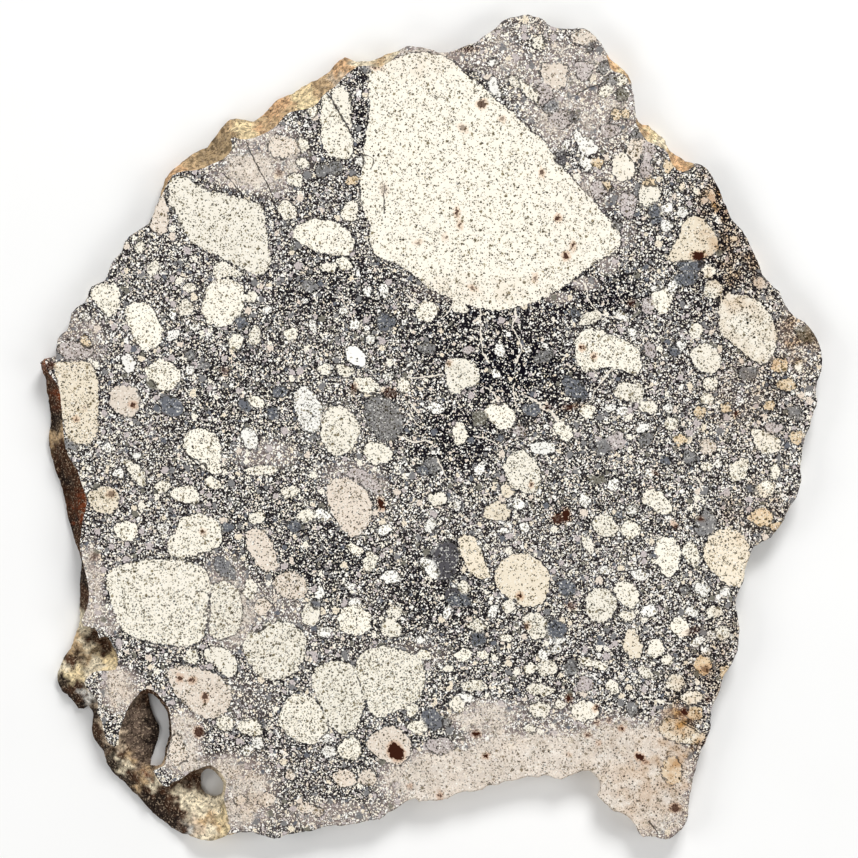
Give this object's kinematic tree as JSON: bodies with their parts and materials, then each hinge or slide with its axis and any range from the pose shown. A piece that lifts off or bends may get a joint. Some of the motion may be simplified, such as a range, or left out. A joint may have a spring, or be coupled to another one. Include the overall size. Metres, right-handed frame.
{
  "type": "lunar meteorite slice",
  "caption": "Flat sawn slice of feldspathic lunar breccia with natural and broken edges and small cavities, for display or study.",
  "frame": {"origin": "centre of the bounding box in plan, on the sawn back face that the slice rests on", "axes": "+Z is the outward normal of the sawn front face; +Y runs from the broken bottom edge to the top edge of the slice as it is displayed; +X runs to its right"},
  "size_m": [0.1564, 0.1652, 0.006],
  "materials": {
    "breccia": "sawn smooth on both faces, rough and dull on the edges"
  },
  "bodies": {
    "root": {"meteorite_slice": "breccia"}
  },
  "joints": []
}
